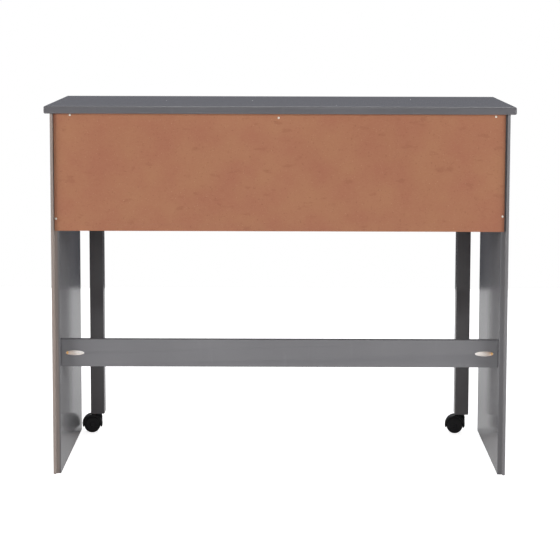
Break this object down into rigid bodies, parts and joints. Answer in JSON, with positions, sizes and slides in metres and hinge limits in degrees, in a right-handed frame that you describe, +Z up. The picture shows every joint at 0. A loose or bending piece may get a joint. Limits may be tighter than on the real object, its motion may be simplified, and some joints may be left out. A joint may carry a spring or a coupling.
{
  "type": "writing desk with drawers",
  "caption": "Board desk with a sliding pull-out table on castored front legs that carries drawers, a nailed hardboard back and a rear stretcher",
  "frame": {"origin": "bottom centre of the whole desk's bounding box, on the floor, drawer knobs included", "axes": "+Z up, +X along the width towards the sitter's right, +Y towards the rear, so the drawers face -Y"},
  "size_m": [1, 0.468, 0.795],
  "materials": {
    "grey_paint": "satin grey paint on board",
    "dark_grey_paint": "satin dark grey paint on board",
    "hardboard": "bare brown hardboard, smooth, mottled",
    "bare_wood": "bare sanded pale wood",
    "black_plastic": "moulded black plastic",
    "bright_steel": "bright zinc-plated steel",
    "yellow_zinc": "yellow zinc-plated steel"
  },
  "bodies": {
    "carcass": {"top_panel": "grey_paint", "side_panel_left": "grey_paint", "side_panel_right": "grey_paint", "rear_top_rail": "grey_paint", "rear_stretcher": "grey_paint", "back_panel": "hardboard", "back_panel_nail_1": "bright_steel", "back_panel_nail_2": "bright_steel", "back_panel_nail_3": "bright_steel", "back_panel_nail_4": "bright_steel", "back_panel_nail_5": "bright_steel", "stretcher_screw_left": "yellow_zinc", "stretcher_screw_right": "yellow_zinc", "slide_cleat_left": "bare_wood", "slide_cleat_right": "bare_wood", "stop_block_left": "bare_wood", "stop_block_right": "bare_wood"},
    "pullout_table": {"pullout_top": "grey_paint", "rear_apron": "dark_grey_paint", "centre_divider": "dark_grey_paint", "front_rail": "dark_grey_paint", "table_leg_left": "dark_grey_paint", "table_leg_right": "dark_grey_paint", "side_apron_left": "dark_grey_paint", "side_apron_right": "dark_grey_paint", "inner_runner_left": "bare_wood", "inner_runner_right": "bare_wood", "outer_runner_left": "bare_wood", "outer_runner_right": "bare_wood", "drawer_stop_left": "bare_wood", "drawer_stop_right": "bare_wood", "caster_socket_left": "bright_steel", "caster_socket_right": "bright_steel"},
    "drawer_left": {"drawer_left_front": "dark_grey_paint", "drawer_left_side_outer": "bare_wood", "drawer_left_side_inner": "bare_wood", "drawer_left_back": "bare_wood", "drawer_left_bottom": "hardboard", "drawer_left_knob": "bright_steel", "drawer_left_knob_screw": "bright_steel"},
    "drawer_right": {"drawer_right_front": "dark_grey_paint", "drawer_right_side_outer": "bare_wood", "drawer_right_side_inner": "bare_wood", "drawer_right_back": "bare_wood", "drawer_right_bottom": "hardboard", "drawer_right_knob": "bright_steel", "drawer_right_knob_screw": "bright_steel"},
    "caster_left": {"caster_left_stem": "bright_steel", "caster_left_hood": "black_plastic", "caster_left_axle": "bright_steel"},
    "caster_right": {"caster_right_stem": "bright_steel", "caster_right_hood": "black_plastic", "caster_right_axle": "bright_steel"},
    "wheel_left_rear": {"caster_left_wheel_rear": "black_plastic"},
    "wheel_left_front": {"caster_left_wheel_front": "black_plastic"},
    "wheel_right_rear": {"caster_right_wheel_rear": "black_plastic"},
    "wheel_right_front": {"caster_right_wheel_front": "black_plastic"}
  },
  "joints": [
    {"name": "table_slide", "type": "slide", "parent": "carcass", "child": "pullout_table", "axis": [0, -1, 0], "range_m": [0, 0.3]},
    {"name": "drawer_left_slide", "type": "slide", "parent": "pullout_table", "child": "drawer_left", "axis": [0, -1, 0], "range_m": [0, 0.25]},
    {"name": "drawer_right_slide", "type": "slide", "parent": "pullout_table", "child": "drawer_right", "axis": [0, -1, 0], "range_m": [0, 0.25]},
    {"name": "caster_left_swivel", "type": "hinge", "parent": "pullout_table", "child": "caster_left", "pos_m": [-0.43, -0.191, 0.0435], "axis": [0, 0, 1], "continuous": true},
    {"name": "caster_right_swivel", "type": "hinge", "parent": "pullout_table", "child": "caster_right", "pos_m": [0.43, -0.191, 0.0435], "axis": [0, 0, 1], "continuous": true},
    {"name": "wheel_left_rear_spin", "type": "hinge", "parent": "caster_left", "child": "wheel_left_rear", "pos_m": [-0.41556, -0.19226, 0.019], "axis": [0.0872, 0.9962, 0], "continuous": true},
    {"name": "wheel_left_front_spin", "type": "hinge", "parent": "caster_left", "child": "wheel_left_front", "pos_m": [-0.41556, -0.19226, 0.019], "axis": [0.0872, 0.9962, 0], "continuous": true},
    {"name": "wheel_right_rear_spin", "type": "hinge", "parent": "caster_right", "child": "wheel_right_rear", "pos_m": [0.44444, -0.18974, 0.019], "axis": [-0.0872, 0.9962, 0], "continuous": true},
    {"name": "wheel_right_front_spin", "type": "hinge", "parent": "caster_right", "child": "wheel_right_front", "pos_m": [0.44444, -0.18974, 0.019], "axis": [-0.0872, 0.9962, 0], "continuous": true}
  ]
}
